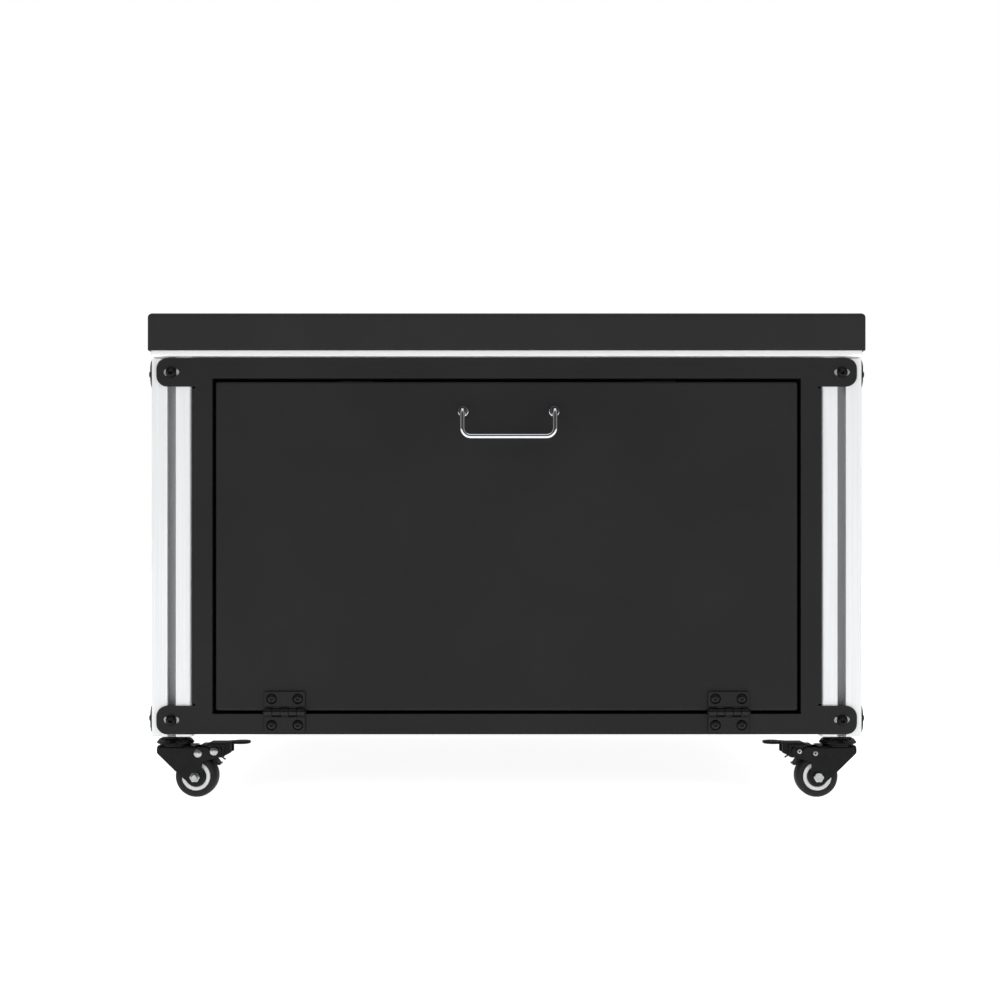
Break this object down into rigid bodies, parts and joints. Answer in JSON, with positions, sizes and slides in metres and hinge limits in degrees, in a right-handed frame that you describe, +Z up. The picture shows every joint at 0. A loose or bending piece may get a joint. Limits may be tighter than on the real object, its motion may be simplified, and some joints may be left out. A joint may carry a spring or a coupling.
{
  "type": "mobile workbench cabinet",
  "caption": "Low mobile workbench: slot-profile aluminium frame clad in folded black steel, steel worktop cap, drop-down front door with bent-rod pull, locking castors.",
  "frame": {"origin": "on the floor, under the middle of the whole object's box", "axes": "+Z up, +X to the right as seen from the front, the door faces -Y"},
  "size_m": [0.712, 0.6358, 0.4778],
  "materials": {
    "panel_steel": "fine-texture matt black powder coat",
    "worktop_steel": "fine-texture matt black powder coat",
    "profile_aluminium": "natural anodised, satin",
    "chrome_rod": "bright chrome plate",
    "black_hinge": "satin black paint",
    "black_fastener": "black oxide",
    "castor_steel": "satin black paint",
    "zinc_hardware": "bright zinc plate",
    "wheel_core_plastic": "light grey moulded polypropylene",
    "hub_cap_plastic": "black moulded plastic",
    "tyre_rubber": "matt black thermoplastic rubber",
    "catch_plastic": "black moulded plastic"
  },
  "bodies": {
    "bench": {"post_front_left": "profile_aluminium", "post_front_right": "profile_aluminium", "post_back_left": "profile_aluminium", "post_back_right": "profile_aluminium", "rail_front": "profile_aluminium", "rail_back": "profile_aluminium", "rail_left": "profile_aluminium", "rail_right": "profile_aluminium", "hinge_frame_leaf_left": "black_hinge", "hinge_pin_left": "black_hinge", "magnet_catch_left": "catch_plastic", "hinge_frame_leaf_right": "black_hinge", "hinge_pin_right": "black_hinge", "magnet_catch_right": "catch_plastic", "ear_bolt_front_lower_a": "black_fastener", "ear_bolt_front_lower_b": "black_fastener", "ear_bolt_front_upper_a": "black_fastener", "ear_bolt_front_upper_b": "black_fastener", "ear_bolt_right_lower_a": "black_fastener", "ear_bolt_right_lower_b": "black_fastener", "ear_bolt_right_upper_a": "black_fastener", "ear_bolt_right_upper_b": "black_fastener", "ear_bolt_left_lower_a": "black_fastener", "ear_bolt_left_lower_b": "black_fastener", "ear_bolt_left_upper_a": "black_fastener", "ear_bolt_left_upper_b": "black_fastener", "castor_stem_front_left": "zinc_hardware", "castor_stem_front_right": "zinc_hardware", "castor_stem_back_left": "zinc_hardware", "castor_stem_back_right": "zinc_hardware", "worktop": "worktop_steel", "front_frame": "panel_steel", "side_panel_left": "panel_steel", "side_panel_right": "panel_steel", "back_panel": "panel_steel", "floor_tray": "panel_steel"},
    "door": {"door": "panel_steel", "door_handle": "chrome_rod", "hinge_door_leaf_left": "black_hinge", "hinge_door_leaf_right": "black_hinge"},
    "swivel_front_left": {"castor_fork_front_left": "castor_steel", "castor_axle_front_left": "zinc_hardware"},
    "wheel_front_left": {"wheel_core_front_left": "wheel_core_plastic", "tyre_front_left": "tyre_rubber"},
    "brake_front_left": {"brake_pedal_front_left": "castor_steel"},
    "swivel_front_right": {"castor_fork_front_right": "castor_steel", "castor_axle_front_right": "zinc_hardware"},
    "wheel_front_right": {"wheel_core_front_right": "wheel_core_plastic", "tyre_front_right": "tyre_rubber"},
    "brake_front_right": {"brake_pedal_front_right": "castor_steel"},
    "swivel_back_left": {"castor_fork_back_left": "castor_steel", "castor_axle_back_left": "zinc_hardware"},
    "wheel_back_left": {"wheel_core_back_left": "wheel_core_plastic", "tyre_back_left": "tyre_rubber"},
    "brake_back_left": {"brake_pedal_back_left": "castor_steel"},
    "swivel_back_right": {"castor_fork_back_right": "castor_steel", "castor_axle_back_right": "zinc_hardware"},
    "wheel_back_right": {"wheel_core_back_right": "wheel_core_plastic", "tyre_back_right": "tyre_rubber"},
    "brake_back_right": {"brake_pedal_back_right": "castor_steel"}
  },
  "joints": [
    {"name": "door_hinge", "type": "hinge", "parent": "bench", "child": "door", "pos_m": [0, -0.2911, 0.0865], "axis": [1, 0, 0], "range_deg": [0, 100]},
    {"name": "castor_swivel_front_left", "type": "hinge", "parent": "bench", "child": "swivel_front_left", "pos_m": [-0.33, -0.2651, 0.0555], "axis": [0, 0, 1], "continuous": true},
    {"name": "wheel_spin_front_left", "type": "hinge", "parent": "swivel_front_left", "child": "wheel_front_left", "pos_m": [-0.308, -0.2651, 0.021], "axis": [0, 1, 0], "continuous": true},
    {"name": "brake_press_front_left", "type": "hinge", "parent": "swivel_front_left", "child": "brake_front_left", "pos_m": [-0.2895, -0.2651, 0.0463], "axis": [0, 1, 0], "range_deg": [0, 7]},
    {"name": "castor_swivel_front_right", "type": "hinge", "parent": "bench", "child": "swivel_front_right", "pos_m": [0.33, -0.2651, 0.0555], "axis": [0, 0, 1], "continuous": true},
    {"name": "wheel_spin_front_right", "type": "hinge", "parent": "swivel_front_right", "child": "wheel_front_right", "pos_m": [0.308, -0.2651, 0.021], "axis": [0, 1, 0], "continuous": true},
    {"name": "brake_press_front_right", "type": "hinge", "parent": "swivel_front_right", "child": "brake_front_right", "pos_m": [0.2895, -0.2651, 0.0463], "axis": [0, -1, 0], "range_deg": [0, 7]},
    {"name": "castor_swivel_back_left", "type": "hinge", "parent": "bench", "child": "swivel_back_left", "pos_m": [-0.33, 0.2949, 0.0555], "axis": [0, 0, 1], "continuous": true},
    {"name": "wheel_spin_back_left", "type": "hinge", "parent": "swivel_back_left", "child": "wheel_back_left", "pos_m": [-0.308, 0.2949, 0.021], "axis": [0, 1, 0], "continuous": true},
    {"name": "brake_press_back_left", "type": "hinge", "parent": "swivel_back_left", "child": "brake_back_left", "pos_m": [-0.2895, 0.2949, 0.0463], "axis": [0, 1, 0], "range_deg": [0, 7]},
    {"name": "castor_swivel_back_right", "type": "hinge", "parent": "bench", "child": "swivel_back_right", "pos_m": [0.33, 0.2949, 0.0555], "axis": [0, 0, 1], "continuous": true},
    {"name": "wheel_spin_back_right", "type": "hinge", "parent": "swivel_back_right", "child": "wheel_back_right", "pos_m": [0.308, 0.2949, 0.021], "axis": [0, 1, 0], "continuous": true},
    {"name": "brake_press_back_right", "type": "hinge", "parent": "swivel_back_right", "child": "brake_back_right", "pos_m": [0.2895, 0.2949, 0.0463], "axis": [0, -1, 0], "range_deg": [0, 7]}
  ]
}
